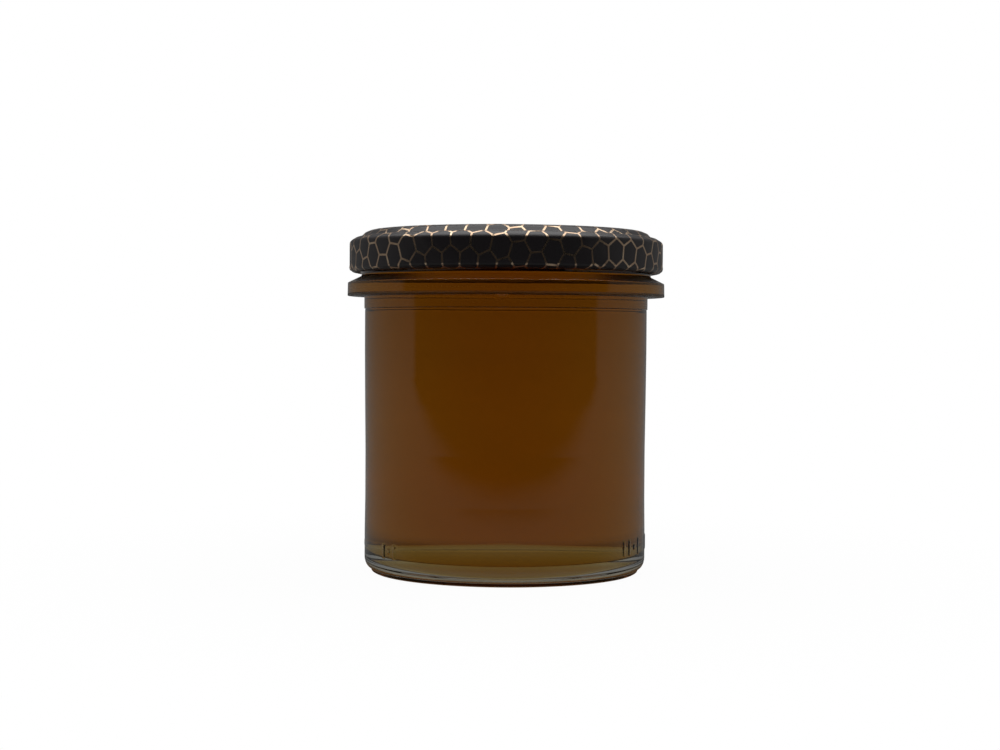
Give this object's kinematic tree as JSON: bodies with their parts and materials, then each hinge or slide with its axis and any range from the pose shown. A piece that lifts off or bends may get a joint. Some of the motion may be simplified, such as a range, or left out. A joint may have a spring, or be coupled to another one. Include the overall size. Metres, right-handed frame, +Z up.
{
  "type": "honey jar",
  "caption": "Straight-sided clear glass jar filled with dark amber honey, closed by a black twist-off lid with a gold honeycomb print.",
  "frame": {"origin": "centre of the circle that the jar stands on, at table height", "axes": "+Z up along the axis of the jar, -Y towards the side shown in the picture, +X to the right of that side"},
  "size_m": [0.086, 0.086, 0.092],
  "materials": {
    "jar": "clear polished glass with a faint green tint",
    "lid": "black satin lacquer with thin gold lines in an irregular honeycomb",
    "honey": "clear dark amber honey"
  },
  "bodies": {
    "root": {"jar": "jar", "lid": "lid", "honey": "honey"}
  },
  "joints": []
}
